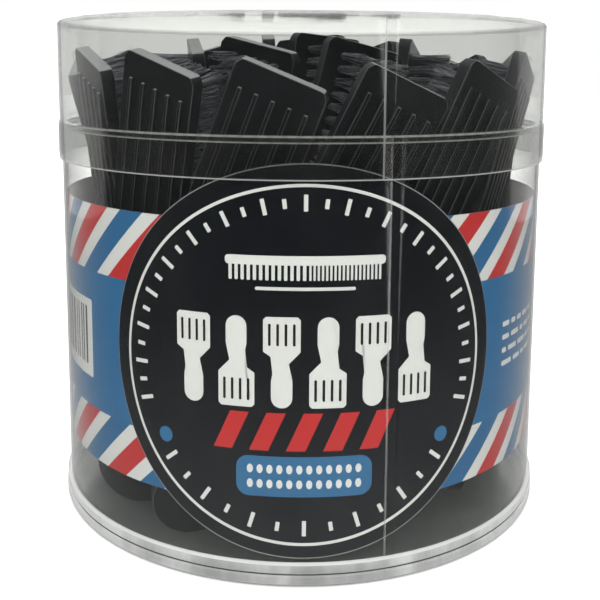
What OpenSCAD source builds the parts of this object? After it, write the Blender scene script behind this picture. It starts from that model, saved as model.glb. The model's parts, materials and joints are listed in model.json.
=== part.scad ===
// Clear counter jar with a lift-off lid, filled with loose fade brushes.
// Millimetres. +Z is up, -Y is the front, the origin is the middle of the base's underside.
// Each brush stands on its handle's end, head up, and leans as the brushes in a packed jar do.

/* [Brush] */
// Length of a brush from its handle's end to the end of its head
brush_l = 146; // [120:1:180]
// Width of the head
head_w = 26; // [20:0.5:32]
// Length of the head, down to where the neck starts
head_l = 54; // [44:1:66]
// Thickness of the head's plate, and of the handle's two ends
plate_t = 4; // [3:0.1:5]
// Width of the neck at its narrowest
neck_w = 15; // [12:0.5:18]
// Radius of the hollows on both sides of the neck
neck_r = 60; // [50:1:80]
// Width of the grip
grip_w = 24; // [18:0.5:26]
// Thickness of the grip at its middle
grip_t = 8.5; // [7:0.1:10]
// Radius of the head's two corners
corner_r = 3; // [2:0.1:5]

/* [Ribs on the back of the head] */
// Width of one rib
rib_w = 1.2; // [0.8:0.1:1.6]
// Height of a rib over the back
rib_h = 0.8; // [0.4:0.1:1.2]
// Length of a rib
rib_l = 42; // [34:1:44]
// Distance from one rib to the next
rib_pitch = 4.7; // [3.8:0.1:5]
// Distance of the ribs from the end of the head
rib_inset = 7.4; // [5:0.1:9]

/* [Bristles] */
// Width of the bristle field
bristle_w = 18.5; // [14:0.5:22]
// Length of the bristle field
bristle_l = 47; // [36:1:50]
// How far the bristles stand out of the plate
bristle_h = 12.5; // [9:0.5:16]
// Distance of the bristle field from the end of the head
bristle_inset = 3; // [2:0.5:5]
// How much wider the bristles spread at their tips
bristle_flare = 0.5; // [0:0.1:1]

/* [Packing] */
// Mean lean of the outer ring's brushes along the wall, degrees
outer_lean = 21; // [14:1:24]
// Greatest difference of one brush's lean from that mean, degrees
lean_swing = 3.5; // [0:0.5:4]
// Lean of the middle ring's brushes, degrees
middle_lean = 13; // [8:1:16]
// Lean of the core's brushes, degrees
core_lean = 5; // [2:1:8]
// How far the outer ring's heads tip outward, degrees
outer_tip = 10.5; // [6:0.5:12]
// How far the middle ring's heads tip outward, degrees
middle_tip = 5; // [3:0.5:6]
// Room beside each head in the outer ring, along the ring
side_gap = 3.7; // [3:0.1:8]
// Room between the bristle tips of two rings, across the rings
ring_gap = 3; // [2.5:0.1:6]
// Room between the core's three backs
core_gap = 1.6; // [1:0.1:4]
// Least gap between neighbouring heads of the middle ring
middle_gap = 1.7; // [1.2:0.1:6]
// Least room between the core brushes' bristles and the backs of the middle ring
core_room = 4.1; // [3:0.1:8]
// Height of each brush over the floor that it stands on
stand_gap = 0.3; // [0.2:0.05:0.5]

/* [Jar] */
// Room between the outermost brush corner and the sleeve
wall_gap = 0.5; // [0.4:0.1:3]
// Thickness of the tube's sheet
tube_t = 0.6; // [0.4:0.05:1]
// Width of the glued lap where the sheet's two edges meet
lap_w = 2.6; // [2:0.1:5]
// Thickness of that lap
lap_t = 0.2; // [0.1:0.05:0.25]
// Height of the bead around the tube's mouth
bead_h = 2.1; // [1.5:0.1:3]
// Thickness of the bead, inward
bead_t = 1.1; // [0.8:0.1:1.4]
// Height of the base cap's rim
base_h = 6.4; // [5:0.1:9]
// Thickness of the base cap's floor
floor_t = 1.2; // [0.8:0.1:2]
// Height of the foot ring under the floor
foot_h = 3; // [2:0.1:4]
// Thickness of the base cap's collar around the tube
collar_t = 1.3; // [1:0.1:2]

/* [Lid] */
// Height of the lid
lid_h = 43.2; // [34:0.1:56]
// How far the lid's skirt reaches down over the tube
lid_overlap = 11.5; // [8:0.5:16]
// Thickness of the lid's wall
lid_wall_t = 0.5; // [0.4:0.05:0.8]
// Thickness of the lid's top
lid_top_t = 0.8; // [0.6:0.05:1.2]
// Radius of the lid's top edge
lid_edge_r = 1.6; // [1:0.1:2]
// Room between the tube and the lid's wall
lid_gap = 0.5; // [0.35:0.05:0.8]
// Room between the tallest brush and the underside of the lid
head_room = 2.2; // [1:0.1:8]

/* [Label] */
// Thickness of the printed sleeve
sleeve_t = 0.3; // [0.2:0.05:0.4]
// Thickness of the round panel bonded to the front of the sleeve
panel_t = 0.2; // [0.15:0.05:0.3]
// Room between the round panel and the tube
label_gap = 0.2; // [0.1:0.05:0.4]
// Distance of the band's lower edge above the base cap
band_low = 15.6; // [10:0.1:20]
// Distance of the band's upper edge below the tube's mouth
band_high = 22.3; // [18:0.1:30]
// Distance of the round panel's lower edge above the base cap
panel_low = 0.6; // [0.4:0.1:4]
// Distance of the round panel's upper edge below the tube's mouth
panel_high = 7; // [5:0.1:14]
// Width of the round panel, measured around the tube
panel_w = 116; // [100:1:126]

/* [Hidden] */
RINGS = [14, 7, 3];
OUTER_START = -63;
MIDDLE_START = -29;
CORE_START = 33;
CORE_TIP = 2;
HANDLE_TINT = "#26282b";
BRISTLE_TINT = "#141517";
CLEAR_TINT = [0.86, 0.88, 0.87, 0.35];
BASE_TINT = [0.78, 0.79, 0.79, 0.8];
BAND_TINT = "steelblue";
PANEL_TINT = "#1b1d20";
NECK_SIDES = [-1, 1];
RIB_COUNT = 5;
DISC_STEP = 6;
EDGE_STEP = 15;
LID_LAP_BEARING = 16.5;
TUBE_LAP_BEARING = 18.4;
PANEL_BEARING = 1;
$fn = 96;

// One brush's section, with the middle of plate and bristles at its own origin
depth = plate_t + bristle_h;
tip_half_w = bristle_w / 2 + bristle_flare;
pivot_l = brush_l - head_l / 2;
head_half_l = head_l / 2;
neck_chord = sqrt(pow(neck_r, 2) - pow(neck_r - (head_w - neck_w) / 2, 2));
neck_z = brush_l - head_l - neck_chord;
grip_l = brush_l - head_l;
grip_rise = grip_t - plate_t;
grip_arc_r = (pow(grip_l / 2, 2) + pow(grip_rise, 2)) / (2 * grip_rise);

// Radii of the three rings, measured to the middle of each brush's section
core_r = (head_w / 2 + core_gap) / tan(180 / RINGS[2]) + depth / 2;
core_reach = norm([core_r + depth / 2, tip_half_w]);
middle_least_r = depth / 2 + max(
    RINGS[1] * (head_w / cos(middle_lean) + middle_gap) / (2 * PI),
    core_reach + rib_h + core_room
);
ring_step = depth + head_half_l * (sin(outer_tip) - sin(middle_tip)) + ring_gap;
outer_back_r = RINGS[0] * (head_w / cos(outer_lean) + side_gap) / (2 * PI);
outer_r = max(outer_back_r - depth / 2, middle_least_r + ring_step);
middle_r = outer_r - ring_step;

// One row for each brush: [bearing from the front, radius, lean, tip, turn about its own length]
function outer_spot(i) = [
    OUTER_START + i * 360 / RINGS[0], outer_r, outer_lean + lean_swing * sin(60 * i - 90), outer_tip, 0
];
function middle_spot(i) = [
    MIDDLE_START + i * 360 / RINGS[1], middle_r, middle_lean, middle_tip, 180
];
function core_spot(i) = [CORE_START + i * 360 / RINGS[2], core_r, core_lean, CORE_TIP, 180];
SPOTS = [
    for (i = [0:RINGS[0] - 1]) outer_spot(i),
    for (i = [0:RINGS[1] - 1]) middle_spot(i),
    for (i = [0:RINGS[2] - 1]) core_spot(i)
];

// A point of one brush in the jar's frame, before the brush is lifted onto the floor
function turned(p, a) = [p.x * cos(a) - p.y * sin(a), p.x * sin(a) + p.y * cos(a), p.z];
function leaned(p, a) = [p.x * cos(a) + p.z * sin(a), p.y, p.z * cos(a) - p.x * sin(a)];
function tipped(p, a) = [p.x, p.y * cos(a) - p.z * sin(a), p.y * sin(a) + p.z * cos(a)];
function in_jar(p, s) = turned(tipped(leaned(turned(p, s[4]), s[2]), s[3]) - [0, s[1], 0], s[0]);

// The outline of the handle's round end and the head's two corners, front and back
back_y = -depth / 2;
end_points = [
    for (a = [180:DISC_STEP:360], y = [back_y, back_y + plate_t])
        [grip_w / 2 * cos(a), y, grip_w / 2 * (1 + sin(a)) - pivot_l]
];
top_points = [for (x = [-head_w, head_w] / 2, y = [back_y, back_y + plate_t]) [x, y, head_half_l]];
function lowest(s) = min([for (p = end_points) in_jar(p, s).z]);
function highest(s) = max([for (p = top_points) in_jar(p, s).z]);
function furthest(s) = max([for (p = concat(top_points, end_points)) norm([in_jar(p, s).x, in_jar(p, s).y])]);

// The jar takes its size from the brushes in it
floor_z = foot_h + floor_t;
LIFTS = [for (s = SPOTS) floor_z + stand_gap - lowest(s)];
tallest = max([for (i = [0:len(SPOTS) - 1]) highest(SPOTS[i]) + LIFTS[i]]);
sleeve_in_r = max([for (s = SPOTS) furthest(s)]) + wall_gap;
sleeve_out_r = sleeve_in_r + sleeve_t;
panel_out_r = sleeve_out_r + panel_t;
tube_in_r = panel_out_r + label_gap;
tube_out_r = tube_in_r + tube_t;
lid_in_r = tube_out_r + lid_gap;
lid_out_r = lid_in_r + lid_wall_t;
base_out_r = tube_out_r + collar_t;
jar_h = tallest + head_room + lid_top_t;
skirt_z = jar_h - lid_h;
mouth_z = skirt_z + lid_overlap;
band_z = [base_h + band_low, mouth_z - band_high];
panel_z = [base_h + panel_low, mouth_z - panel_high];
panel_half_angle = panel_w / 2 / panel_out_r * 180 / PI;

function two_digits(n) = n < 10 ? str("0", n) : str(n);
function handle_name(i) = str("brush_", two_digits(i + 1), "_handle");
function bristle_name(i) = str("brush_", two_digits(i + 1), "_bristles");

// ---- Brush ----

// The handle seen from its back, with its round end at the origin
module handle_outline() {
    difference() {
        union() {
            translate([-head_w / 2, neck_z]) square([head_w, brush_l - corner_r - neck_z]);
            translate([corner_r - head_w / 2, neck_z]) square([head_w - 2 * corner_r, brush_l - neck_z]);
            for (side = NECK_SIDES)
                translate([side * (head_w / 2 - corner_r), brush_l - corner_r]) circle(r = corner_r);
            translate([-grip_w / 2, grip_w / 2]) square([grip_w, neck_z - grip_w / 2 + 1]);
            translate([0, grip_w / 2]) circle(d = grip_w);
        }
        for (side = NECK_SIDES)
            translate([side * (neck_w / 2 + neck_r), neck_z]) circle(r = neck_r, $fn = 180);
    }
}

// The handle seen from its side: a flat plate with a swelling over the grip and neck
module handle_side() {
    square([plate_t, brush_l]);
    intersection() {
        square([grip_t, grip_l]);
        translate([grip_t - grip_arc_r, grip_l / 2]) circle(r = grip_arc_r, $fn = 360);
    }
}

module head_ribs() {
    for (n = [0:RIB_COUNT - 1])
        translate([(n - (RIB_COUNT - 1) / 2) * rib_pitch - rib_w / 2, -rib_h, brush_l - rib_inset - rib_l])
            cube([rib_w, rib_h + plate_t / 2, rib_l]);
}

// One moulded handle, its back to -Y, standing on its end at the origin
module handle() {
    color(HANDLE_TINT) {
        intersection() {
            translate([0, grip_t, 0]) rotate([90, 0, 0]) linear_extrude(grip_t) handle_outline();
            translate([-head_w, 0, 0]) rotate([90, 0, 90]) linear_extrude(2 * head_w) handle_side();
        }
        head_ribs();
    }
}

// The field of tufts as one solid, wider at its tips
module bristles() {
    color(BRISTLE_TINT)
        translate([0, plate_t, brush_l - bristle_inset - bristle_l])
            linear_extrude(bristle_l)
                polygon([
                    [-bristle_w / 2, 0], [bristle_w / 2, 0],
                    [tip_half_w, bristle_h], [-tip_half_w, bristle_h]
                ]);
}

// Stands a brush's piece where brush i is
module in_place(i) {
    s = SPOTS[i];
    translate([0, 0, LIFTS[i]])
        rotate([0, 0, s[0]]) translate([0, -s[1], 0])
            rotate([s[3], 0, 0]) rotate([0, s[2], 0]) rotate([0, 0, s[4]])
                translate([0, back_y, -pivot_l]) children();
}

// ---- Jar ----

// A plain ring between two radii, standing on z = low
module ring(in_r, out_r, low, high) {
    translate([0, 0, low])
        rotate_extrude($fn = 180) translate([in_r, 0]) square([out_r - in_r, high - low]);
}

// A patch of a ring, centred on a bearing from the front
module ring_patch(in_r, out_r, low, high, bearing, width) {
    angle = width / in_r * 180 / PI;
    translate([0, 0, low])
        rotate([0, 0, bearing - 90 - angle / 2])
            rotate_extrude(angle = angle, $fn = 180)
                translate([in_r, 0]) square([out_r - in_r, high - low]);
}

// The moulded cap under the tube: foot ring, floor and a grooved collar around the tube
module base_cap() {
    groove = 0.5;
    chamfer = 0.6;
    foot_in_r = tube_in_r - 2 * collar_t;
    collar_out_r = base_out_r - groove / 2;
    color(BASE_TINT)
        rotate_extrude($fn = 180)
            polygon([
                [0, foot_h], [foot_in_r, foot_h], [foot_in_r, 0],
                [base_out_r - chamfer, 0], [base_out_r, chamfer], [base_out_r, foot_h - groove / 2],
                [base_out_r - groove, foot_h], [base_out_r - groove, foot_h + groove],
                [collar_out_r, foot_h + 1.5 * groove],
                [collar_out_r, base_h - chamfer], [collar_out_r - chamfer, base_h],
                [tube_out_r, base_h], [tube_out_r, floor_z], [0, floor_z]
            ]);
}

// The rolled clear sheet, with the lap along which it is glued
module tube() {
    color(CLEAR_TINT) {
        ring(tube_in_r, tube_out_r, floor_z, mouth_z);
        ring_patch(tube_out_r - tube_t / 2, tube_out_r + lap_t, base_h, mouth_z, TUBE_LAP_BEARING, lap_w);
    }
}

module mouth_bead() {
    color(CLEAR_TINT) ring(tube_in_r - bead_t, tube_in_r, mouth_z - bead_h, mouth_z);
}

// The striped sleeve inside the tube
module label_band() {
    color(BAND_TINT) ring(sleeve_in_r, sleeve_out_r, band_z[0], band_z[1]);
}

// The round black panel on the front of the sleeve, curved with it
module label_panel() {
    mid_z = (panel_z[0] + panel_z[1]) / 2;
    half_h = (panel_z[1] - panel_z[0]) / 2;
    color(PANEL_TINT)
        rotate([0, 0, PANEL_BEARING])
            intersection() {
                ring(sleeve_out_r, panel_out_r, panel_z[0], panel_z[1]);
                translate([0, 0, mid_z]) rotate([90, 0, 0])
                    linear_extrude(tube_out_r) panel_outline(half_h);
            }
}

// The panel's outline seen from the front, an ellipse once it is laid flat
module panel_outline(half_h) {
    polygon([
        for (a = [0:3:357])
            [panel_out_r * sin(panel_half_angle * cos(a)), half_h * sin(a)]
    ]);
}

// ---- Lid ----

// The rolled clear wall of the lid, with its own glued lap
module lid_wall() {
    color(CLEAR_TINT) {
        ring(lid_in_r, lid_out_r, skirt_z, jar_h - lid_edge_r);
        ring_patch(
            lid_out_r - lid_wall_t / 2, lid_out_r + lap_t, skirt_z, jar_h - lid_edge_r,
            LID_LAP_BEARING, lap_w
        );
    }
}

// The lid's flat top, which turns down into the wall over a round edge
module lid_top() {
    low_z = jar_h - lid_edge_r;
    inner_edge_r = lid_edge_r - lid_wall_t;
    color(CLEAR_TINT)
        rotate_extrude($fn = 180)
            polygon(concat(
                [[0, jar_h - lid_top_t], [0, jar_h]],
                [
                    for (a = [0:EDGE_STEP:90])
                        [lid_out_r - lid_edge_r, low_z] + lid_edge_r * [sin(a), cos(a)]
                ],
                [[lid_in_r, low_z], [lid_in_r - inner_edge_r, jar_h - lid_top_t]]
            ));
}

base_cap();
tube();
mouth_bead();
label_band();
label_panel();
lid_wall();
lid_top();
for (i = [0:len(SPOTS) - 1]) {
    in_place(i) handle();
    in_place(i) bristles();
}
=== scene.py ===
# The look of a clear counter jar full of fade brushes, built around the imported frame.
# The frame is in metres: +Z is up and -Y is the front. A bearing is an angle from the front towards +X.
# Shapes made here are drawn in millimetres and scaled by MM when their mesh is written.

import json
import math
import random

import bmesh
import bpy
import numpy as np
from mathutils import Matrix, Vector

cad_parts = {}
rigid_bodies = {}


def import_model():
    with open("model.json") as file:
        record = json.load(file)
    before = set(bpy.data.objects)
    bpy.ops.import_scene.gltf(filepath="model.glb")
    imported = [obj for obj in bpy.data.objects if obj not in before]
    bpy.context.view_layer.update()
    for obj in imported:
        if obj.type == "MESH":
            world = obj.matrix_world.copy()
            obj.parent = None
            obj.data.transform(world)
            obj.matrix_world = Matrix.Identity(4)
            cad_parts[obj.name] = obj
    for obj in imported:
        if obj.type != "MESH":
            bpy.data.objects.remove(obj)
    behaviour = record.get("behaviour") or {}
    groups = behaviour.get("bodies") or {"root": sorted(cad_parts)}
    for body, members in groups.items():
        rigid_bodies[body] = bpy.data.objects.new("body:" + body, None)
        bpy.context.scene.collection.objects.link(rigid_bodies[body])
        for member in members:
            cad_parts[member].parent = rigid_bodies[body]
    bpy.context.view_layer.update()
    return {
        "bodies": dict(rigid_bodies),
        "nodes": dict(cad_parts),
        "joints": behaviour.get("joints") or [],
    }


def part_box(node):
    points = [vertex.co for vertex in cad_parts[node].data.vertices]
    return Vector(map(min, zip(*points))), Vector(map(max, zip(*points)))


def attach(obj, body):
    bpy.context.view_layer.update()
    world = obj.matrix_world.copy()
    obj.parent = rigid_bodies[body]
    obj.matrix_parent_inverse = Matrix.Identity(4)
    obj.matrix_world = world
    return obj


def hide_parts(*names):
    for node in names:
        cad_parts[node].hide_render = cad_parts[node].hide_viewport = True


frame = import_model()

MM = 0.001
JAR_BODY = "jar"
BRUSHES = sorted(body for body in frame["bodies"] if body.startswith("brush_"))


# ---------------------------------------------------------------- measures of the frame


def points_of(node):
    """The vertices of a CAD node, in metres, one row each."""
    return np.array([v.co for v in frame["nodes"][node].data.vertices], float)


def radii_of(node):
    """(least, greatest) distance of a CAD node's vertices from the jar's axis, in millimetres."""
    r = np.hypot(*points_of(node)[:, :2].T) / MM
    return r.min(), r.max()


def heights_of(node):
    """(lowest, highest) z of a CAD node, in millimetres."""
    low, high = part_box(node)
    return low.z / MM, high.z / MM


def bearing(x, y):
    return math.atan2(x, -y)


SLEEVE_R = radii_of("label_band")[1]
PANEL_R = radii_of("label_panel")[1]
BAND_LOW, BAND_HIGH = heights_of("label_band")
PANEL_LOW, PANEL_HIGH = heights_of("label_panel")
BASE_H = heights_of("base_cap")[1]
JAR_H = heights_of("lid_top")[1]
panel_bearings = [bearing(x, y) for x, y, z in points_of("label_panel")]
PANEL_BEARING = (min(panel_bearings) + max(panel_bearings)) / 2
PANEL_HALF_W = PANEL_R * (max(panel_bearings) - min(panel_bearings)) / 2
PANEL_HALF_H = (PANEL_HIGH - PANEL_LOW) / 2
PANEL_MID = (PANEL_HIGH + PANEL_LOW) / 2


# ---------------------------------------------------------------- materials


def srgb(red, green, blue):
    """A colour given as 0 to 255 display values, as the linear colour that a shader takes."""
    values = [c / 255 for c in (red, green, blue)]
    return [c / 12.92 if c <= 0.04045 else ((c + 0.055) / 1.055) ** 2.4 for c in values] + [1.0]


def add(tree, kind, values, **settings):
    """A new node. Each value goes to the input of that name or number: a socket is linked to it."""
    made = tree.nodes.new(kind)
    for name, value in settings.items():
        setattr(made, name, value)
    for key, value in values.items():
        if isinstance(value, bpy.types.NodeSocket):
            tree.links.new(value, made.inputs[key])
        else:
            made.inputs[key].default_value = value
    return made


def maths(tree, operation, a, b=0.0, c=0.0):
    return add(tree, "ShaderNodeMath", {0: a, 1: b, 2: c}, operation=operation).outputs[0]


def mixed(tree, share, a, b):
    """Colour a where share is 0 and b where it is 1."""
    return add(tree, "ShaderNodeMix", {0: share, 6: a, 7: b}, data_type="RGBA").outputs[2]


def new_material(name):
    made = bpy.data.materials.new(name)
    made.use_nodes = True
    made.node_tree.nodes.clear()
    return made, made.node_tree


def finish_surface(tree, shader):
    add(tree, "ShaderNodeOutputMaterial", {"Surface": shader})


def finish_principled(tree, values):
    """Ends a material with a Principled shader that has these inputs."""
    finish_surface(tree, add(tree, "ShaderNodeBsdfPrincipled", values).outputs[0])


def scaled(colour, gain, lift=0.0):
    """A colour made lighter or darker, and no lighter than white."""
    return [min(1.0, c * gain + lift) for c in colour[:3]] + [1.0]


def own_place(tree):
    """Coordinates that stay with the piece, in metres."""
    return add(tree, "ShaderNodeTexCoord", {}).outputs["Object"]


def scaled_place(tree, factors):
    """Coordinates that stay with the piece, each multiplied by its factor."""
    place = add(tree, "ShaderNodeVectorMath", {0: own_place(tree), 1: factors}, operation="MULTIPLY")
    return place.outputs[0]


def noise(tree, size_mm, detail=3.0, stretch=(1, 1, 1)):
    """Fractal noise from 0 to 1 with blotches of about that size."""
    values = {"Vector": scaled_place(tree, stretch), "Scale": 1 / (size_mm * MM), "Detail": detail}
    return add(tree, "ShaderNodeTexNoise", values).outputs["Fac"]


def between(tree, share, low, high):
    """share from 0 to 1 as a value from low to high."""
    values = {"Value": share, "To Min": low, "To Max": high}
    return add(tree, "ShaderNodeMapRange", values).outputs["Result"]


def bumped(tree, height, depth_mm):
    values = {"Height": height, "Distance": depth_mm * MM, "Strength": 1.0}
    return add(tree, "ShaderNodeBump", values).outputs[0]


# The handles' plastic. Sizes are in millimetres, and shares and gains have no unit
BLOTCH_SIZE = 9.0
# The painted highlight on the handle's end face and round edges, and how much paler it makes them
END_FACE_START, END_FACE_FULL = 0.6, 0.95
END_FACE_SHARE = 0.9
ROUND_EDGE_GAIN = 6.0
HIGHLIGHT_GAIN, HIGHLIGHT_LIFT = 6.0, 0.3
BLOTCH_GAIN = 3.0
GRAIN_SIZE, GRAIN_DEPTH = 0.3, 0.003


def moulded_plastic(name, colour, roughness):
    """Moulded plastic with a fine grain and uneven gloss, and a painted highlight that makes the face at
    its
    +Z end and the round edges between its Y faces and its sides paler."""
    made, tree = new_material(name)
    blotches = noise(tree, BLOTCH_SIZE)
    facing = add(tree, "ShaderNodeSeparateXYZ", {0: add(tree, "ShaderNodeTexCoord", {}).outputs["Normal"]})
    end_face = add(tree, "ShaderNodeMapRange", {
        "Value": facing.outputs[2],
        "From Min": END_FACE_START,
        "From Max": END_FACE_FULL,
        "To Max": END_FACE_SHARE,
    }).outputs["Result"]
    front_share = maths(tree, "POWER", facing.outputs[1], 2.0)
    round_edge = maths(tree, "MULTIPLY", front_share, maths(tree, "SUBTRACT", 1.0, front_share))
    round_edge = maths(tree, "MULTIPLY", maths(tree, "POWER", round_edge, 2.0), ROUND_EDGE_GAIN)
    # Painted highlight: the end face and the round edges are made paler, as if catching light
    painted_highlight = maths(tree, "MAXIMUM", round_edge, end_face)
    tone = mixed(tree, between(tree, blotches, -0.4, 1.1), colour, scaled(colour, BLOTCH_GAIN))
    finish_principled(tree, {
        "Base Color": mixed(tree, painted_highlight, tone, scaled(colour, HIGHLIGHT_GAIN, HIGHLIGHT_LIFT)),
        "Roughness": between(tree, blotches, roughness - 0.07, roughness + 0.09),
        "Specular IOR Level": 0.3,
        "Normal": bumped(tree, noise(tree, GRAIN_SIZE, 2.0), GRAIN_DEPTH),
    })
    return made


# The bristles' painted highlight, pale strands: their size in millimetres, length along y, strength
STRAND_SIZE = 0.4
STRAND_STRETCH = (1, 0.05, 1)
STRAND_GAIN = 4.0


def nylon(name, colour, strand_highlight):
    """Glossy nylon filaments, which run along their own y, some painted pale at random as a painted
    highlight.
    """
    made, tree = new_material(name)
    # Painted highlight: random strands are made pale
    strand = maths(tree, "POWER", noise(tree, STRAND_SIZE, 1.0, STRAND_STRETCH), 3.0)
    finish_principled(tree, {
        "Base Color": mixed(tree, between(tree, strand, 0.0, STRAND_GAIN), colour, strand_highlight),
        "Roughness": between(tree, noise(tree, 3.0), 0.25, 0.45),
    })
    return made


def around_the_jar(tree):
    """(distance around the jar from the front in millimetres on the sleeve, height in millimetres)."""
    place = add(tree, "ShaderNodeSeparateXYZ", {0: own_place(tree)}).outputs
    angle = maths(tree, "ARCTAN2", place[0], maths(tree, "MULTIPLY", place[1], -1.0))
    return maths(tree, "MULTIPLY", angle, SLEEVE_R), maths(tree, "DIVIDE", place[2], MM)


def inside(tree, value, low, high):
    """1 where a value is between two limits and 0 elsewhere."""
    above, below = maths(tree, "GREATER_THAN", value, low), maths(tree, "LESS_THAN", value, high)
    return maths(tree, "MULTIPLY", above, below)


# The clear plastic. Sizes are in millimetres, and shares and gains have no unit
GLOSS_FACE_ON, GLOSS_GRAZING = 0.04, 0.9
SCUFF_SIZE = 14.0
SCUFF_STRETCH = (1, 1, 0.35)
HAZE_LOW, HAZE_HIGH = 0.5, 3.0
HAZE_GRAZING = 4.0
HAZE_INNER = 0.12
SEAM_HALF_W, SEAM_SHARE = 0.16, 0.3
BAND_SHADE = 0.12
TINT_GRAZING = 0.78
WAVE_SIZE, WAVE_DEPTH = 30.0, 0.25


def clear_plastic(
    name, tint, haze, gloss_roughness,
    edge_highlights=(), cloud_tone=0.75, shaded_bands=(), seam=None, clear_within=None,
):
    """Thin clear plastic: straight-through tint, a little haze with faint scuffs, and gloss. All three
    grow towards grazing angles, where the way through the sheet is longer. The highlight bands, (low,
    high, share) heights in millimetres, get whitish haze as a painted highlight along the sheet's edges,
    and the shade bands, (low, high) heights, get darker haze as painted shade. seam is the bearing of a
    glued edge, a thin pale line down the sheet. Within clear_within millimetres of the jar's axis the
    haze is faint."""
    made, tree = new_material(name)
    facing = add(tree, "ShaderNodeLayerWeight", {"Blend": 0.5}).outputs["Facing"]
    grazing = maths(tree, "POWER", facing, 5.0)
    gloss_share = maths(tree, "MULTIPLY_ADD", grazing, GLOSS_GRAZING, GLOSS_FACE_ON)
    scuffs = maths(tree, "POWER", noise(tree, SCUFF_SIZE, 6.0, SCUFF_STRETCH), 3.0)
    haze_share = between(tree, scuffs, haze * HAZE_LOW, haze * HAZE_HIGH)
    haze_share = maths(tree, "MULTIPLY", haze_share, between(tree, facing, 1.0, HAZE_GRAZING))
    around, height = around_the_jar(tree)
    if clear_within is not None:
        level = scaled_place(tree, (1, 1, 0))
        reach = add(tree, "ShaderNodeVectorMath", {0: level}, operation="LENGTH").outputs["Value"]
        inner = maths(tree, "LESS_THAN", reach, clear_within * MM)
        haze_share = maths(tree, "MULTIPLY", haze_share, between(tree, inner, 1.0, HAZE_INNER))
    # Painted highlight: whitish haze in bands along the sheet's edges
    for low, high, share in edge_highlights:
        edge = maths(tree, "MULTIPLY", inside(tree, height, low, high), share)
        haze_share = maths(tree, "MAXIMUM", haze_share, edge)
    if seam is not None:
        middle = seam * SLEEVE_R
        line = inside(tree, around, middle - SEAM_HALF_W, middle + SEAM_HALF_W)
        haze_share = maths(tree, "MAXIMUM", haze_share, maths(tree, "MULTIPLY", line, SEAM_SHARE))
    cloud_colour = (cloud_tone, cloud_tone * 1.01, cloud_tone * 0.99, 1)
    shaded = scaled([cloud_tone] * 3, BAND_SHADE)
    # Painted shade: the haze is darkened in these bands, at a groove and at the bottom edge
    for low, high in shaded_bands:
        cloud_colour = mixed(tree, inside(tree, height, low, high), cloud_colour, shaded)
    tint = mixed(tree, maths(tree, "POWER", facing, 3.0), tint, scaled(tint, TINT_GRAZING))
    through = add(tree, "ShaderNodeBsdfTransparent", {"Color": tint}).outputs[0]
    scattered = add(tree, "ShaderNodeBsdfDiffuse", {"Color": cloud_colour}).outputs[0]
    passed = add(tree, "ShaderNodeBsdfTranslucent", {"Color": cloud_colour}).outputs[0]
    cloud = add(tree, "ShaderNodeMixShader", {0: 0.5, 1: scattered, 2: passed}).outputs[0]
    haze_share = add(tree, "ShaderNodeClamp", {"Value": haze_share}).outputs[0]
    hazy = add(tree, "ShaderNodeMixShader", {0: haze_share, 1: through, 2: cloud}).outputs[0]
    shine = add(tree, "ShaderNodeBsdfGlossy", {
        "Color": (1, 1, 1, 1),
        "Roughness": gloss_roughness,
        "Normal": bumped(tree, noise(tree, WAVE_SIZE, 1.0), WAVE_DEPTH),
    }).outputs[0]
    finish_surface(tree, add(tree, "ShaderNodeMixShader", {0: gloss_share, 1: hazy, 2: shine}).outputs[0])
    return made


def faces_outward(tree):
    """1 on faces that look away from the jar's axis and 0 on the others."""
    geometry = add(tree, "ShaderNodeNewGeometry", {}).outputs
    level = scaled_place(tree, (1, 1, 0))
    pair = {0: level, 1: geometry["True Normal"]}
    along = add(tree, "ShaderNodeVectorMath", pair, operation="DOT_PRODUCT").outputs["Value"]
    return maths(tree, "GREATER_THAN", along, 0.0)


# The sleeve's print, in millimetres: stripes that slant one way over two zones, and a plain field between
STRIPE_CYCLE = 30.0
STRIPE_SLOPE = 1.07
STRIPE_SHIFT = 10.0
STRIPE_ENDS = (9.0, 15.0, 24.0)
UPPER_STRIPES = 20.0
LOWER_STRIPES = 16.0
INK_BLUE = srgb(30, 106, 158)
INK_FIELD = srgb(32, 112, 166)
INK_RED = srgb(204, 34, 34)
INK_WHITE = srgb(232, 232, 230)
INK_BLACK = srgb(13, 16, 21)
INK_MOTTLE = srgb(120, 124, 128)
INK_SHEEN = srgb(24, 27, 33)
SLEEVE_BACK = srgb(150, 144, 140)
PANEL_RIM_TONE = srgb(150, 150, 148)
MOTTLE_SHARE = 0.12


def striped_print(name):
    """The sleeve's stripes and field on its outer face, and bare film on its inner one."""
    made, tree = new_material(name)
    around, height = around_the_jar(tree)
    rise = maths(tree, "MULTIPLY", maths(tree, "SUBTRACT", height, BAND_HIGH), STRIPE_SLOPE)
    phase = maths(tree, "ADD", maths(tree, "SUBTRACT", around, rise), STRIPE_SHIFT)
    phase = maths(tree, "FLOORED_MODULO", phase, STRIPE_CYCLE)
    colour = INK_RED
    for end, ink in zip(STRIPE_ENDS, (INK_WHITE, INK_BLUE, INK_WHITE)):
        colour = mixed(tree, maths(tree, "GREATER_THAN", phase, end), colour, ink)
    in_field = maths(
        tree, "MULTIPLY",
        maths(tree, "LESS_THAN", height, BAND_HIGH - UPPER_STRIPES),
        maths(tree, "GREATER_THAN", height, BAND_LOW + LOWER_STRIPES),
    )
    colour = mixed(tree, in_field, colour, INK_FIELD)
    colour = mixed(tree, faces_outward(tree), SLEEVE_BACK, colour)
    mottle = noise(tree, 0.5, 2.0)
    colour = mixed(tree, between(tree, mottle, 0.0, MOTTLE_SHARE), colour, INK_MOTTLE)
    finish_principled(tree, {
        "Base Color": colour,
        "Roughness": between(tree, noise(tree, 6.0), 0.32, 0.46),
        "Specular IOR Level": 0.25,
    })
    return made


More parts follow.
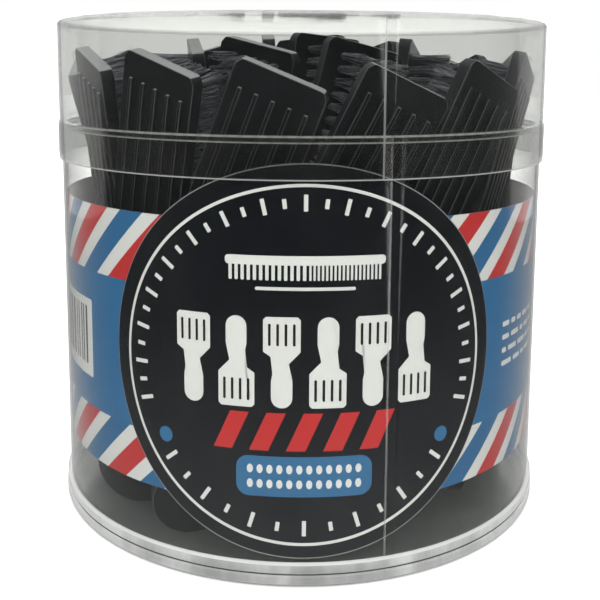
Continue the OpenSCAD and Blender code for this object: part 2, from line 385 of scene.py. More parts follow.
def ink(name, colour):
    """One printed colour, with the faint mottle of ink on film."""
    made, tree = new_material(name)
    finish_principled(tree, {
        "Base Color": mixed(tree, noise(tree, 0.6, 2.0), colour, scaled(colour, 1.12, 0.004)),
        "Roughness": between(tree, noise(tree, 6.0), 0.3, 0.44),
    })
    return made


def panel_print(name, rim_mm):
    """The panel's black ink, with a thin pale line round its outline."""
    made, tree = new_material(name)
    around, height = around_the_jar(tree)
    across = maths(tree, "SUBTRACT", maths(tree, "DIVIDE", around, SLEEVE_R), PANEL_BEARING)
    across = maths(tree, "MULTIPLY", across, PANEL_R / PANEL_HALF_W)
    rise = maths(tree, "DIVIDE", maths(tree, "SUBTRACT", height, PANEL_MID), PANEL_HALF_H)
    place = add(tree, "ShaderNodeCombineXYZ", {0: across, 1: rise}).outputs[0]
    reach = add(tree, "ShaderNodeVectorMath", {0: place}, operation="LENGTH").outputs["Value"]
    rim = maths(tree, "GREATER_THAN", reach, 1 - rim_mm / PANEL_HALF_W)
    tone = mixed(tree, noise(tree, 8.0, 4.0), INK_BLACK, INK_SHEEN)
    tone = mixed(tree, rim, tone, PANEL_RIM_TONE)
    tone = mixed(tree, faces_outward(tree), SLEEVE_BACK, tone)
    finish_principled(tree, {
        "Base Color": tone,
        "Roughness": between(tree, noise(tree, 6.0), 0.28, 0.44),
        "Specular IOR Level": 0.2,
    })
    return made


def seam_of(node):
    """The bearing of the left edge of a rolled sheet's glued lap, which stands out from the sheet."""
    points = points_of(node)
    reach = np.hypot(points[:, 0], points[:, 1])
    lap = points[reach > reach.max() - 0.02 * MM]
    return min(bearing(x, y) for x, y, z in lap)


# Heights in millimetres of the painted highlights along the clear pieces' edges, and of the
# painted shade in the base cap's groove and along its bottom edge
BEAD_LOW, BEAD_HIGH = heights_of("mouth_bead")
SKIRT_Z = heights_of("lid_wall")[0]
BEAD_HIGHLIGHTS = ((BEAD_HIGH - 0.6, BEAD_HIGH + 0.1, 0.85), (BEAD_LOW - 0.1, BEAD_LOW + 0.35, 0.7))
SKIRT_HIGHLIGHT = ((SKIRT_Z - 0.1, SKIRT_Z + 0.3, 0.45),)
BASE_HIGHLIGHT = ((BASE_H - 0.55, BASE_H + 0.1, 1.0),)
BASE_SHADE_BANDS = ((BASE_H * 0.47, BASE_H * 0.53), (-0.1, 0.3))
PANEL_RIM_W = 0.35

HANDLE_PLASTIC = moulded_plastic("handle_plastic", srgb(12, 14, 17), 0.36)
BRISTLE_NYLON = nylon("bristle_nylon", srgb(11, 12, 14), srgb(155, 158, 168))
CLEAR_SHEET = clear_plastic("clear_sheet", (0.92, 0.925, 0.915, 1), 0.006, 0.05, seam=seam_of("tube"))
CLEAR_LID = clear_plastic(
    "clear_lid", (0.9, 0.906, 0.893, 1), 0.008, 0.06, edge_highlights=SKIRT_HIGHLIGHT, seam=seam_of("lid_wall")
)
CLEAR_TOP = clear_plastic("clear_top", (0.84, 0.845, 0.835, 1), 0.05, 0.1, cloud_tone=0.42)
CLEAR_RIM = clear_plastic("clear_rim", (0.86, 0.87, 0.87, 1), 0.03, 0.1, edge_highlights=BEAD_HIGHLIGHTS)
BASE_PLASTIC = clear_plastic(
    "base_plastic", (0.6, 0.62, 0.615, 1), 0.5, 0.16,
    edge_highlights=BASE_HIGHLIGHT, cloud_tone=0.82, shaded_bands=BASE_SHADE_BANDS, clear_within=SLEEVE_R,
)
BAND_PRINT = striped_print("band_print")
PANEL_PRINT = panel_print("panel_print", PANEL_RIM_W)
WHITE_INK = ink("white_ink", INK_WHITE)
RED_INK = ink("red_ink", INK_RED)
BLUE_INK = ink("blue_ink", srgb(44, 112, 160))
BLACK_INK = ink("black_ink", INK_BLACK)


def dress(node, material):
    """Gives a CAD node its material."""
    piece = frame["nodes"][node]
    piece.data.materials.clear()
    piece.data.materials.append(material)


dress("base_cap", BASE_PLASTIC)
dress("tube", CLEAR_SHEET)
dress("mouth_bead", CLEAR_RIM)
dress("lid_wall", CLEAR_LID)
dress("lid_top", CLEAR_TOP)
dress("label_band", BAND_PRINT)
dress("label_panel", PANEL_PRINT)


# ---------------------------------------------------------------- meshes


def new_object(name, data):
    """A new object in the scene with that mesh, light or camera."""
    made = bpy.data.objects.new(name, data)
    bpy.context.scene.collection.objects.link(made)
    return made


def mesh_of(name, points, faces):
    """A smooth mesh from points in millimetres. Each vertex takes its normal mostly from its largest
    face, so that flat faces stay flat beside their round edges."""
    made = bpy.data.meshes.new(name)
    made.from_pydata([[c * MM for c in p] for p in points], [], faces)
    made.update()
    made.shade_smooth()
    normals = np.zeros((len(points), 3))
    for face in made.polygons:
        normals[list(face.vertices)] += np.array(face.normal) * face.area
    lengths = np.maximum(np.linalg.norm(normals, axis=1, keepdims=True), 1e-12)
    made.normals_split_custom_set_from_vertices(normals / lengths)
    return made


# ---------------------------------------------------------------- the brush, measured from its CAD nodes


# How near to an extreme a vertex counts as lying on it, in millimetres
TOLERANCE = 0.05
# The share of the handle's length, from its lower end, that is surely grip
GRIP_SHARE = 0.2


class BrushShape:
    """The outline and thickness of the CAD handle, in its own frame: x across, y from its back towards
    the bristles, z along it from the end of the grip. Millimetres."""

    def __init__(self, brush):
        joint = next(j for j in frame["joints"] if j["child"] == brush)
        along = Vector(joint["axis"]).normalized()
        block = frame["nodes"][brush + "_bristles"].data
        tips = max(block.polygons, key=lambda p: p.area).normal
        out = (tips - along * tips.dot(along)).normalized()
        across = out.cross(along)
        turn = Matrix((across, out, along))
        handle = points_of(brush + "_handle") @ np.array(turn).T / MM
        field = points_of(brush + "_bristles") @ np.array(turn).T / MM
        low, high = handle.min(0), handle.max(0)
        lower_half = handle[handle[:, 2] < (low[2] + high[2]) / 2]
        self.length = high[2] - low[2]
        origin = Vector(((low[0] + high[0]) / 2, lower_half[:, 1].min(), low[2]))
        handle = handle - np.array(origin)
        field = field - np.array(origin)
        self.place = turn.transposed().to_4x4()
        self.place.translation = turn.transposed() @ origin * MM
        width, z = np.abs(handle[:, 0]), handle[:, 2]
        self.plate_t = field[:, 1].min()
        self.grip_t = handle[:, 1].max()
        self.head_half_w = width.max()
        head_sides = z[width > self.head_half_w - TOLERANCE]
        shoulder = head_sides.min()
        outer = width > self.head_half_w * 0.5
        neck = outer & (z > self.length * GRIP_SHARE) & (z < shoulder)
        self.neck_half_w = width[neck].min()
        self.neck_z = float(np.mean(z[neck & (width < self.neck_half_w + TOLERANCE)]))
        self.grip_half_w = width[z < self.length * GRIP_SHARE].max()
        depth = self.head_half_w - self.neck_half_w
        chord = shoulder - self.neck_z
        self.neck_r = (chord**2 + depth**2) / (2 * depth)
        self.corner_r = self.length - head_sides.max()
        self.grip_l = shoulder
        self.rib_h = -handle[:, 1].min()
        ribs = handle[handle[:, 1] < -self.rib_h * 0.5]
        self.rib_low, self.rib_high = ribs[:, 2].min(), ribs[:, 2].max()
        self.rib_sides = sorted({round(float(x), 2) for x in ribs[:, 0]})
        self.field_low, self.field_high = field.min(0), field.max(0)
        root = field[field[:, 1] < self.plate_t + 2 * TOLERANCE]
        self.root_half_w = np.abs(root[:, 0]).max()

    def half_width(self, z):
        """Half the handle's width at a height along it."""
        if z < self.grip_half_w:
            return math.sqrt(max(0.0, self.grip_half_w**2 - (self.grip_half_w - z) ** 2))
        if z > self.length - self.corner_r:
            up = z - (self.length - self.corner_r)
            return self.head_half_w - self.corner_r + math.sqrt(max(0.0, self.corner_r**2 - up**2))
        reach = abs(z - self.neck_z)
        side = self.grip_half_w if z < self.neck_z else self.head_half_w
        if reach >= self.neck_r:
            return side
        return min(side, self.neck_half_w + self.neck_r - math.sqrt(self.neck_r**2 - reach**2))

    def thickness(self, z):
        """The handle's thickness at a height along it: a plate that swells over the grip."""
        if z >= self.grip_l:
            return self.plate_t
        rise = self.grip_t - self.plate_t
        radius = ((self.grip_l / 2) ** 2 + rise**2) / (2 * rise)
        return self.grip_t - radius + math.sqrt(radius**2 - (z - self.grip_l / 2) ** 2)


# Round edges of the handle and of its ribs, in millimetres, and how finely they are drawn
EDGE_R = 0.35
RIB_EDGE_R = 0.35
EDGE_STEPS = 4
END_STEPS = 6
HANDLE_STEPS = 90
RIB_STEPS = 2
# How far the ends' round edges narrow the sections, as a share of the edge, and the least half width
END_NARROWING = 0.4
RIB_NARROWING = 0.5
LEAST_HALF_W = 0.4


def eased(low, high, end_steps, middle_steps, edge):
    """Heights from low to high, closer together over the rounded edge at each end."""
    turns = [1 - math.cos(math.pi / 2 * n / end_steps) for n in range(end_steps)]
    middle = [low + edge + (high - low - 2 * edge) * n / middle_steps for n in range(middle_steps + 1)]
    return [low + edge * t for t in turns] + middle + [high - edge * t for t in reversed(turns)]


def rounded_section(half_w, back, front, radius):
    """A rectangle with round corners, as (x, y) points."""
    radius = max(0.01, min(radius, half_w * 0.95, (front - back) * 0.48))
    corners = ((1, 1, 0), (-1, 1, 90), (-1, -1, 180), (1, -1, 270))
    made = []
    for side_x, side_y, start in corners:
        centre_x = side_x * (half_w - radius)
        centre_y = (front - radius) if side_y > 0 else (back + radius)
        for n in range(EDGE_STEPS + 1):
            a = math.radians(start + 90 * n / EDGE_STEPS)
            made.append((centre_x + radius * math.cos(a), centre_y + radius * math.sin(a)))
    return made


def lofted(sections):
    """Points and faces of a closed skin over sections, each (z, its points), with flat ends."""
    points = [(x, y, z) for z, ring in sections for x, y in ring]
    count = len(sections[0][1])
    faces = []
    for s in range(len(sections) - 1):
        for n in range(count):
            a, b = s * count + n, s * count + (n + 1) % count
            faces.append((a, b, b + count, a + count))
    faces.append(tuple(range(count - 1, -1, -1)))
    faces.append(tuple(range(len(points) - count, len(points))))
    return points, faces


def edge_inset(z, low, high, edge):
    """How far a round edge has turned in at z, near either end of a length."""
    near = min(z - low, high - z)
    if near >= edge:
        return 0.0
    return edge - math.sqrt(max(0.0, edge**2 - (edge - near) ** 2))


def handle_mesh(shape):
    """The moulded handle with round edges and ribs on the back of its head."""
    sections = []
    for z in eased(0.0, shape.length, END_STEPS, HANDLE_STEPS, EDGE_R):
        inset = edge_inset(z, 0.0, shape.length, EDGE_R)
        half_w = max(LEAST_HALF_W, shape.half_width(z) - inset * END_NARROWING)
        ring = rounded_section(half_w, inset, shape.thickness(z) - inset, EDGE_R)
        sections.append((z, ring))
    points, faces = lofted(sections)
    sides = shape.rib_sides
    for left, right in zip(sides[::2], sides[1::2]):
        middle, half_w = (left + right) / 2, (right - left) / 2
        rib = []
        for z in eased(shape.rib_low, shape.rib_high, END_STEPS, RIB_STEPS, RIB_EDGE_R):
            inset = edge_inset(z, shape.rib_low, shape.rib_high, RIB_EDGE_R)
            rib_half_w = half_w - inset * RIB_NARROWING
            ring = rounded_section(rib_half_w, inset - shape.rib_h, shape.plate_t / 2, RIB_EDGE_R)
            rib.append((z, [(x + middle, y) for x, y in ring]))
        rib_points, rib_faces = lofted(rib)
        faces += [tuple(i + len(points) for i in f) for f in rib_faces]
        points += rib_points
    return mesh_of("handle", points, faces)


# The tufts, in millimetres
TUFT_COLUMNS = 5
TUFT_ROWS = 12
TUFT_R = 1.0
TUFT_SPLAY = 1.95
TUFT_LEAN_X, TUFT_LEAN_Z = 0.4, 0.5
TUFT_UNEVEN = 0.5
FILAMENTS = 30
FILAMENT_R = 0.165
FILAMENT_TAPER = 0.28
FILAMENT_UNEVEN = 0.6
FILAMENT_BEND_X, FILAMENT_BEND_Z = 0.2, 0.25
ROOT_DEPTH = 0.3
FIELD_MARGIN = 0.15


def filament(points, faces, path, radius):
    """Adds one filament, a three-sided prism along a path that narrows towards its tip."""
    first = len(points)
    for step, (x, y, z) in enumerate(path):
        r = radius * (1 - FILAMENT_TAPER * step / (len(path) - 1))
        for corner in range(3):
            a = 2 * math.pi * corner / 3 + x
            points.append((x + r * math.cos(a), y, z + r * math.sin(a)))
    for step in range(len(path) - 1):
        for corner in range(3):
            a, b = first + 3 * step + corner, first + 3 * step + (corner + 1) % 3
            faces.append((a, a + 3, b + 3, b))
    last = first + 3 * (len(path) - 1)
    faces.append((last + 2, last + 1, last))
    faces.append((first, first + 1, first + 2))


def bristle_mesh(shape, seed):
    """Rows of tufts, each a bundle of filaments that splay, bend and end unevenly inside the field."""
    rng = random.Random(seed)
    low, high = shape.field_low, shape.field_high
    root_y, tip_y = low[1] - ROOT_DEPTH, high[1]
    half_l = (high[2] - low[2]) / 2
    mid_z = (high[2] + low[2]) / 2
    points, faces = [], []
    for column in range(TUFT_COLUMNS):
        for row in range(TUFT_ROWS):
            root_x = (2 * (column + 0.5) / TUFT_COLUMNS - 1) * (shape.root_half_w - 0.2)
            root_z = mid_z + (2 * (row + 0.5) / TUFT_ROWS - 1) * (half_l - 0.1)
            lean_x, lean_z = rng.gauss(0, TUFT_LEAN_X), rng.gauss(0, TUFT_LEAN_Z)
            tuft_top = rng.uniform(0.0, TUFT_UNEVEN)
            for _ in range(FILAMENTS):
                a, d = rng.uniform(0, 2 * math.pi), TUFT_R * math.sqrt(rng.random())
                off_x, off_z = d * math.cos(a), d * math.sin(a)
                end_y = tip_y - tuft_top - abs(rng.gauss(0, FILAMENT_UNEVEN))
                bend_x, bend_z = rng.gauss(0, FILAMENT_BEND_X), rng.gauss(0, FILAMENT_BEND_Z)
                path = []
                for share in (0.0, 0.5, 1.0):
                    spread = 1 + (TUFT_SPLAY - 1) * share
                    y = root_y + (end_y - root_y) * share
                    x = root_x + off_x * spread + (lean_x + bend_x * share) * share**2
                    z = root_z + off_z * spread + (lean_z + bend_z * share) * share**2
                    room_x = shape.root_half_w + (high[0] - shape.root_half_w) * share - FIELD_MARGIN
                    room_z = half_l - FIELD_MARGIN
                    x = max(-room_x, min(room_x, x))
                    z = max(mid_z - room_z, min(mid_z + room_z, z))
                    path.append((x, y, z))
                filament(points, faces, path, FILAMENT_R * rng.uniform(0.8, 1.15))
    return mesh_of("bristles", points, faces)


BRISTLE_VARIANTS = 4
BRISTLE_SEED = 11
model_brush = BrushShape(BRUSHES[0])
HANDLE_MESH = handle_mesh(model_brush)
HANDLE_MESH.materials.append(HANDLE_PLASTIC)
BRISTLE_MESHES = [bristle_mesh(model_brush, BRISTLE_SEED + n) for n in range(BRISTLE_VARIANTS)]
for bristles in BRISTLE_MESHES:
    bristles.materials.append(BRISTLE_NYLON)


def place_brush(number, brush):
    """The moulded handle and the tufts of one brush, in the place of its two CAD nodes."""
    place = BrushShape(brush).place
    for name, mesh, slot, node in (
        ("handle_moulded", HANDLE_MESH, "handle_plastic", "handle"),
        ("tufts", BRISTLE_MESHES[number % BRISTLE_VARIANTS], "bristle_nylon", "bristles"),
    ):
        piece = new_object(f"{brush}_{name}", mesh)
        piece.matrix_world = place
        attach(piece, brush)
        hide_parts(f"{brush}_{node}")


for number, brush in enumerate(BRUSHES):
    place_brush(number, brush)


# ---------------------------------------------------------------- the label's print, as thin ink shapes


# Thickness of the ink, height of its face over what it is printed on, and the width of the flat
# slices that follow the curve, in millimetres
INK_T = 0.03
INK_LIFT = 0.05
SLICE = 2.0


def ellipse(centre_x, centre_z, half_w, half_h, steps=48):
    turns = [2 * math.pi * n / steps for n in range(steps)]
    return [(centre_x + half_w * math.cos(a), centre_z + half_h * math.sin(a)) for a in turns]


def rounded_box(centre_x, centre_z, width, height, radius, steps=6):
    """A rectangle with round corners, each drawn in that many steps."""
    made = []
    for sx, sz, start in ((1, 1, 0), (-1, 1, 90), (-1, -1, 180), (1, -1, 270)):
        for n in range(steps + 1):
            a = math.radians(start + 90 * n / steps)
            x = centre_x + sx * (width / 2 - radius) + radius * math.cos(a)
            made.append((x, centre_z + sz * (height / 2 - radius) + radius * math.sin(a)))
    return made


def slanted_box(centre_x, centre_z, width, height, slant):
    """A parallelogram whose top is moved to the right by slant."""
    corners = (
        (-width - slant, -height), (width - slant, -height),
        (width + slant, height), (slant - width, height),
    )
    return [(centre_x + x / 2, centre_z + z / 2) for x, z in corners]


def turned_box(centre_x, centre_z, width, height, angle):
    """A rectangle turned about its middle."""
    c, s = math.cos(angle), math.sin(angle)
    corners = ((-width, -height), (width, -height), (width, height), (-width, height))
    return [(centre_x + (x * c - z * s) / 2, centre_z + (x * s + z * c) / 2) for x, z in corners]


def printed(name, outlines, radius, middle_bearing, middle_z, material, layer=0):
    """Thin ink shapes wrapped round the jar over a radius. Outlines are flat, in millimetres from the
    middle of the print, and a higher layer lies over a lower one."""
    bm = bmesh.new()
    for outline in outlines:
        bm.faces.new([bm.verts.new((x, 0, z)) for x, z in outline])
    bmesh.ops.triangulate(bm, faces=bm.faces[:])
    low = min(v.co.x for v in bm.verts)
    high = max(v.co.x for v in bm.verts)
    for n in range(math.ceil(low / SLICE), math.floor(high / SLICE) + 1):
        everything = bm.verts[:] + bm.edges[:] + bm.faces[:]
        cut = (n * SLICE, 0, 0)
        bmesh.ops.bisect_plane(bm, geom=everything, plane_co=cut, plane_no=(1, 0, 0), dist=1e-5)
    ink_r = radius + INK_LIFT * (layer + 1)
    for v in bm.verts:
        a = middle_bearing + v.co.x / radius
        v.co = Vector((ink_r * math.sin(a), -ink_r * math.cos(a), middle_z + v.co.z)) * MM
    bmesh.ops.recalc_face_normals(bm, faces=bm.faces[:])
    if sum(f.normal.dot(f.calc_center_median() * Vector((1, 1, 0))) for f in bm.faces) < 0:
        bmesh.ops.reverse_faces(bm, faces=bm.faces[:])
    mesh = bpy.data.meshes.new(name)
    bm.to_mesh(mesh)
    bm.free()
    mesh.materials.append(material)
    piece = new_object(name, mesh)
    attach(piece, JAR_BODY)
    solid = piece.modifiers.new("thickness", "SOLIDIFY")
    solid.thickness = INK_T * MM
    solid.offset = -1


def on_panel(name, outlines, material, layer=0):
    printed(name, outlines, PANEL_R, PANEL_BEARING, PANEL_MID, material, layer)


def on_sleeve(name, outlines, material, layer=0):
    """Outlines are in millimetres around the sleeve from the front, and up from its field's middle."""
    field_mid = (BAND_LOW + LOWER_STRIPES + BAND_HIGH - UPPER_STRIPES) / 2
    printed(name, outlines, SLEEVE_R, 0.0, field_mid, material, layer)


# Sizes of the panel's print, in millimetres from the panel's middle
RING_HALF_W, RING_HALF_H, RING_Z = 53.0, 49.3, -0.8
RING_LINE = 0.85
RING_STEPS = 144
# (how many, first angle, sweep to the last) of the bars over the ring's top and along its bottom, degrees
MARK_ROWS = ((33, 196, -212), (13, 218, 104))
MARK_INWARD, MARK_W, MARK_LONG, MARK_SHORT = 4.6, 1.1, 4.4, 2.6
ROW_W, ROW_H, ROW_Z = 74.0, 25.0, 1.0
ROW_COUNT = 6
SLOT_COUNT, SLOT_PITCH, SLOT_W, SLOT_H, SLOT_Z = 4, 2.2, 0.7, ROW_H * 0.24, ROW_H * 0.305
EMBLEM_W, EMBLEM_H, EMBLEM_Z = 43.0, 6.6, 26.6
RED_W, RED_H, RED_Z = 50.0, 10.6, -18.2
RED_COUNT = 5
PILL_W, PILL_H, PILL_Z, PILL_R = 37.2, 11.4, -30.8, 3.4
PILL_MARGIN, PILL_ROW_Z, PILL_DOT_W, PILL_DOT_H = 5.0, 2.1, 0.85, 1.25
DOT_X, DOT_Z, DOT_R = 40.0, -22.6, 2.2


def band_between(outer, inner):
    """Quads between two closed outlines with the same number of points."""
    after = [(n + 1) % len(outer) for n in range(len(outer))]
    return [[outer[n], outer[m], inner[m], inner[n]] for n, m in enumerate(after)]


def print_ring():
    """A thin line around the panel, inside its edge."""
    outer = ellipse(0, RING_Z, RING_HALF_W + RING_LINE / 2, RING_HALF_H + RING_LINE / 2, RING_STEPS)
    inner = ellipse(0, RING_Z, RING_HALF_W - RING_LINE / 2, RING_HALF_H - RING_LINE / 2, RING_STEPS)
    on_panel("print_ring", band_between(outer, inner), WHITE_INK)


def print_ring_marks():
    """Short bars around the inside of the ring, long and short by turns, with a gap at each blue dot."""
    marks = []
    for count, start, sweep in MARK_ROWS:
        for n in range(count):
            a = math.radians(start + sweep * n / (count - 1))
            x = (RING_HALF_W - MARK_INWARD) * math.cos(a)
            z = RING_Z + (RING_HALF_H - MARK_INWARD) * math.sin(a)
            length = MARK_LONG if n % 2 == 0 else MARK_SHORT
            marks.append(turned_box(x, z, MARK_W, length, a - math.pi / 2))
    on_panel("print_ring_marks", marks, WHITE_INK)


# The brush shape's sizes as shares of its height, its cut corner in millimetres, and its grip's round end
SHAPE_HEAD_W, SHAPE_HEAD_H, SHAPE_NECK_W, SHAPE_GRIP_W = 0.40, 0.38, 0.15, 0.23
SHAPE_GRIP_TOP, SHAPE_WAIST_DROP, SHAPE_WAIST_H = 0.3, 0.13, 0.05
SHAPE_WAIST_FLARE = 1.12
SHAPE_CORNER = 0.8
SHAPE_END_STEPS = 6


def brush_outline(centre_x, centre_z, height, turned):
    """The outline of a flat brush seen from its back: head, narrow neck and round-ended grip."""
    head_half_w, neck_half_w = height * SHAPE_HEAD_W / 2, height * SHAPE_NECK_W / 2
    grip_half_w = height * SHAPE_GRIP_W / 2
    head_low = height - height * SHAPE_HEAD_H
    waist = head_low - height * SHAPE_WAIST_DROP
    right = []
    for n in range(SHAPE_END_STEPS + 1):
        a = math.pi / 2 * n / SHAPE_END_STEPS
        right.append((grip_half_w * math.sin(a), grip_half_w * (1 - math.cos(a))))
    right += [(grip_half_w, height * SHAPE_GRIP_TOP), (neck_half_w, waist)]
    right += [(neck_half_w * SHAPE_WAIST_FLARE, waist + height * SHAPE_WAIST_H), (head_half_w, head_low)]
    right += [(head_half_w, height - SHAPE_CORNER), (head_half_w - SHAPE_CORNER, height)]
    left = [(-x, z) for x, z in reversed(right)][:-1]
    flip = -1 if turned else 1
    return [(centre_x + flip * x, centre_z + flip * (z - height / 2)) for x, z in right + left]


def print_brush_row():
    """A row of brush shapes, heads up and down by turns, with dark slots for their ribs."""
    pitch = ROW_W / ROW_COUNT
    shapes, slots = [], []
    for n in range(ROW_COUNT):
        x = (n - (ROW_COUNT - 1) / 2) * pitch
        turned = n % 2 == 1
        shapes.append(brush_outline(x, ROW_Z, ROW_H, turned))
        flip = -1 if turned else 1
        slot_z = ROW_Z + flip * SLOT_Z
        for k in range(SLOT_COUNT):
            slot_x = x + (k - (SLOT_COUNT - 1) / 2) * SLOT_PITCH
            slots.append(rounded_box(slot_x, slot_z, SLOT_W, SLOT_H, 0.3, 3))
    on_panel("print_brush_row", shapes, WHITE_INK)
    on_panel("print_brush_row_slots", slots, BLACK_INK, layer=1)


# The comb's spine, its teeth as (width, gap), and the line under it, in millimetres
SPINE_H = EMBLEM_H * 0.38
TOOTH_OVERLAP = 0.3
COARSE_TOOTH, FINE_TOOTH = (0.9, 0.75), (0.6, 0.5)
FIRST_TOOTH, LAST_TOOTH = 1.0, 0.8
LINE_DROP, LINE_W, LINE_H = 2.2, EMBLEM_W * 0.62, 0.9


def print_comb():
    """A barber's comb: a spine with coarse teeth on its left half and fine teeth on its right half, and
    a line under it."""
    top = EMBLEM_Z + EMBLEM_H / 2
    shapes = [rounded_box(0, top - SPINE_H / 2, EMBLEM_W, SPINE_H, 1.0)]
    tooth_h = EMBLEM_H - SPINE_H + TOOTH_OVERLAP
    x = -EMBLEM_W / 2 + FIRST_TOOTH
    while x < EMBLEM_W / 2 - LAST_TOOTH:
        width, gap = COARSE_TOOTH if x < 0 else FINE_TOOTH
        tooth_z = top - SPINE_H - tooth_h / 2 + TOOTH_OVERLAP
        shapes.append(rounded_box(x + width / 2, tooth_z, width, tooth_h, 0.25, 3))
        x += width + gap
    line = rounded_box(0, EMBLEM_Z - EMBLEM_H / 2 - LINE_DROP, LINE_W, LINE_H, 0.4)
    on_panel("print_comb", shapes, WHITE_INK)
    on_panel("print_comb_line", [line], WHITE_INK)


def print_red_row():
    """A row of slanted red bars."""
    pitch = RED_W / RED_COUNT
    bars = [
        slanted_box((n - (RED_COUNT - 1) / 2) * pitch, RED_Z, pitch * 0.52, RED_H, RED_H * 0.45)
        for n in range(RED_COUNT)
    ]
    on_panel("print_red_bars", bars, RED_INK)


def print_pill():
    """A blue pill with a white dot for each brush in the jar, and a blue dot in each gap between the
    ring's bars."""
    on_panel("print_pill", [rounded_box(0, PILL_Z, PILL_W, PILL_H, PILL_R, 8)], BLUE_INK)
    per_row = len(BRUSHES) // 2
    pitch = (PILL_W - PILL_MARGIN) / per_row
    dots = []
    for n in range(per_row):
        x = (n - (per_row - 1) / 2) * pitch
        for side in (-1, 1):
            dots.append(ellipse(x, PILL_Z + side * PILL_ROW_Z, PILL_DOT_W, PILL_DOT_H, 16))
    on_panel("print_pill_dots", dots, WHITE_INK, layer=1)
    side_dots = [ellipse(side * DOT_X, DOT_Z, DOT_R, DOT_R, 32) for side in (-1, 1)]
    on_panel("print_side_dots", side_dots, BLUE_INK)


# The white box and the dashes on the sleeve, in millimetres around it and up from its field's middle
BOX_X, BOX_W, BOX_H, BOX_MARGIN = -87.0, 31.0, 24.0, 3.0
LAST_BAR = 4.0
BAR_WIDTHS, BAR_GAPS = (0.8, 1.2, 2.0), (0.9, 1.4, 1.9)
DASH_LEFT, DASH_RIGHT, DASH_TOP = 68.0, 104.0, 6.0
DASH_LINES, DASH_PITCH, DASH_H, DASH_GAP = 4, 4.0, 1.5, 1.6
DASH_SHORT, DASH_LONG = 2.5, 7.0
NOTES_SEED = 5


def print_sleeve_notes():
    """On the blue field beside the panel: a white box of plain bars, and rows of short white dashes."""
    rng = random.Random(NOTES_SEED)
    on_sleeve("print_white_box", [rounded_box(BOX_X, 0, BOX_W, BOX_H, 0.6)], WHITE_INK)
    bars = []
    x = BOX_X - BOX_W / 2 + BOX_MARGIN
    while x < BOX_X + BOX_W / 2 - LAST_BAR:
        width = rng.choice(BAR_WIDTHS)
        bars.append(rounded_box(x + width / 2, 0.6, width, BOX_H - 2 * BOX_MARGIN, 0.05, 1))
        x += width + rng.choice(BAR_GAPS)
    on_sleeve("print_box_bars", bars, BLACK_INK, layer=1)
    dashes = []
    for line in range(DASH_LINES):
        x = DASH_LEFT
        while x < DASH_RIGHT:
            width = rng.uniform(DASH_SHORT, DASH_LONG)
            dashes.append(rounded_box(x + width / 2, DASH_TOP - DASH_PITCH * line, width, DASH_H, 0.4, 3))
            x += width + DASH_GAP
    on_sleeve("print_dashes", dashes, WHITE_INK)


print_ring()
print_ring_marks()
print_brush_row()
print_comb()
print_red_row()
print_pill()
print_sleeve_notes()


# ---------------------------------------------------------------- floor, light and camera


# In metres
FLOOR_HALF_W = 4.0
FLOOR_DROP = 0.0002


def make_floor():
    """A plain pale floor just under the jar, left out of what glossy surfaces mirror."""
    bm = bmesh.new()
    bmesh.ops.create_grid(bm, x_segments=1, y_segments=1, size=FLOOR_HALF_W)
    mesh = bpy.data.meshes.new("floor")
    bm.to_mesh(mesh)
    bm.free()
    floor = new_object("floor", mesh)
    floor.location.z = -FLOOR_DROP
    made, tree = new_material("floor_paper")
    finish_principled(tree, {
        "Base Color": (0.9, 0.9, 0.9, 1), "Roughness": 0.9, "Specular IOR Level": 0.1,
    })
    mesh.materials.append(made)
    floor.visible_glossy = False


# How bright the room is in front of the jar, behind it, overhead and below
ROOM_FRONT, ROOM_BACK, ROOM_UP, ROOM_DOWN = 0.004, 0.4, 0.8, 0.4


def make_world():
    """A white backdrop, and a room that lights the jar and is mirrored in it. The room is dark in front
    of the jar, paler behind it, and brightens upward and, like a floor near by, downward."""
    world = bpy.data.worlds.new("studio")
    bpy.context.scene.world = world
    world.use_nodes = True
    tree = world.node_tree
    tree.nodes.clear()
    way = add(tree, "ShaderNodeSeparateXYZ", {0: add(tree, "ShaderNodeTexCoord", {}).outputs["Generated"]})
    upward, backward = way.outputs[2], way.outputs[1]

    def ramp(value, start, end, low, high):
        return add(tree, "ShaderNodeMapRange", {
            "Value": value, "From Min": start, "From Max": end, "To Min": low, "To Max": high,
        }, interpolation_type="SMOOTHSTEP").outputs["Result"]

    eye_level = ramp(backward, 0.0, 0.8, ROOM_FRONT, ROOM_BACK)
    strength = maths(tree, "ADD", eye_level, ramp(upward, 0.1, 0.95, 0.0, ROOM_UP))
    strength = maths(tree, "ADD", strength, ramp(upward, -0.2, -0.6, 0.0, ROOM_DOWN))
    seen = add(tree, "ShaderNodeLightPath", {}).outputs["Is Camera Ray"]
    room = add(tree, "ShaderNodeBackground", {"Color": (1, 1, 1, 1), "Strength": strength}).outputs[0]
    backdrop = add(tree, "ShaderNodeBackground", {"Color": (1, 1, 1, 1), "Strength": 1.0}).outputs[0]
    both = add(tree, "ShaderNodeMixShader", {0: seen, 1: room, 2: backdrop}).outputs[0]
    add(tree, "ShaderNodeOutputWorld", {"Surface": both})


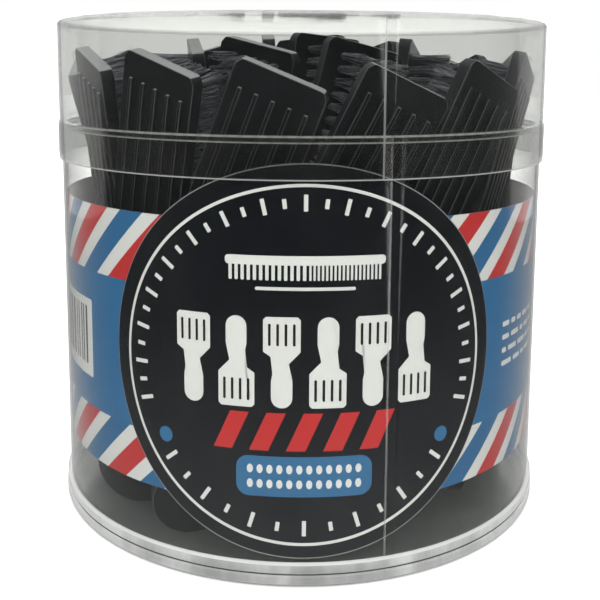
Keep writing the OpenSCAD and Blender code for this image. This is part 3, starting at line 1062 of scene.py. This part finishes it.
def softbox(name, side, distance, height, width, tall, radiance):
    """A rectangular light turned to the jar, that the camera doesn't see. side is its bearing in
    degrees, and its sizes are in metres."""
    light = bpy.data.lights.new(name, "AREA")
    light.shape = "RECTANGLE"
    light.size, light.size_y = width, tall
    light.energy = radiance * math.pi * width * tall
    lamp = new_object(name, light)
    a = math.radians(side)
    lamp.location = (distance * math.sin(a), -distance * math.cos(a), height)
    middle = Vector((0, 0, JAR_H * MM / 2))
    lamp.rotation_euler = (middle - lamp.location).to_track_quat("-Z", "Y").to_euler()
    lamp.visible_camera = False


def wide_light(name, tilt, irradiance, spread):
    """Even soft light from above, tilted towards the front. Both angles are in degrees."""
    light = bpy.data.lights.new(name, "SUN")
    light.energy = irradiance
    light.angle = math.radians(spread)
    lamp = new_object(name, light)
    lamp.location = (0, 0, 1)
    lamp.rotation_euler = (math.radians(tilt), 0, 0)
    return lamp


# Place in metres, angles in degrees, lens and sensor in millimetres
CAMERA_PLACE = (0.0, -0.3109, 0.1401)
CAMERA_PITCH = 7.85
CAMERA_ROLL = 0.35
CAMERA_LENS = 54.7
CAMERA_SENSOR = 36.0
CAMERA_SHIFT = (-0.0015, -0.18)


def make_camera():
    """A camera at the front that looks a little down."""
    data = bpy.data.cameras.new("camera")
    data.sensor_width = CAMERA_SENSOR
    data.lens = CAMERA_LENS
    data.shift_x, data.shift_y = CAMERA_SHIFT
    data.clip_start, data.clip_end = 0.01, 20.0
    camera = new_object("camera", data)
    camera.location = CAMERA_PLACE
    aim = Matrix.Rotation(math.radians(90 - CAMERA_PITCH), 4, "X")
    camera.rotation_euler = (aim @ Matrix.Rotation(math.radians(CAMERA_ROLL), 4, "Z")).to_euler()
    bpy.context.scene.camera = camera


make_floor()
make_world()
wide_light("overhead", tilt=0, irradiance=2.3, spread=100)
front_fill = wide_light("front_fill", tilt=58, irradiance=1.8, spread=50)
front_fill.visible_glossy = False
softbox("left_softbox", side=-118, distance=1.0, height=0.35, width=0.8, tall=0.9, radiance=0.42)
softbox("right_softbox", side=125, distance=1.0, height=0.35, width=0.6, tall=0.9, radiance=0.4)
softbox("back_softbox", side=180, distance=1.1, height=0.34, width=1.3, tall=0.6, radiance=1.5)
make_camera()

scene = bpy.context.scene
scene.view_settings.view_transform = "Standard"
scene.cycles.transparent_max_bounces = 32
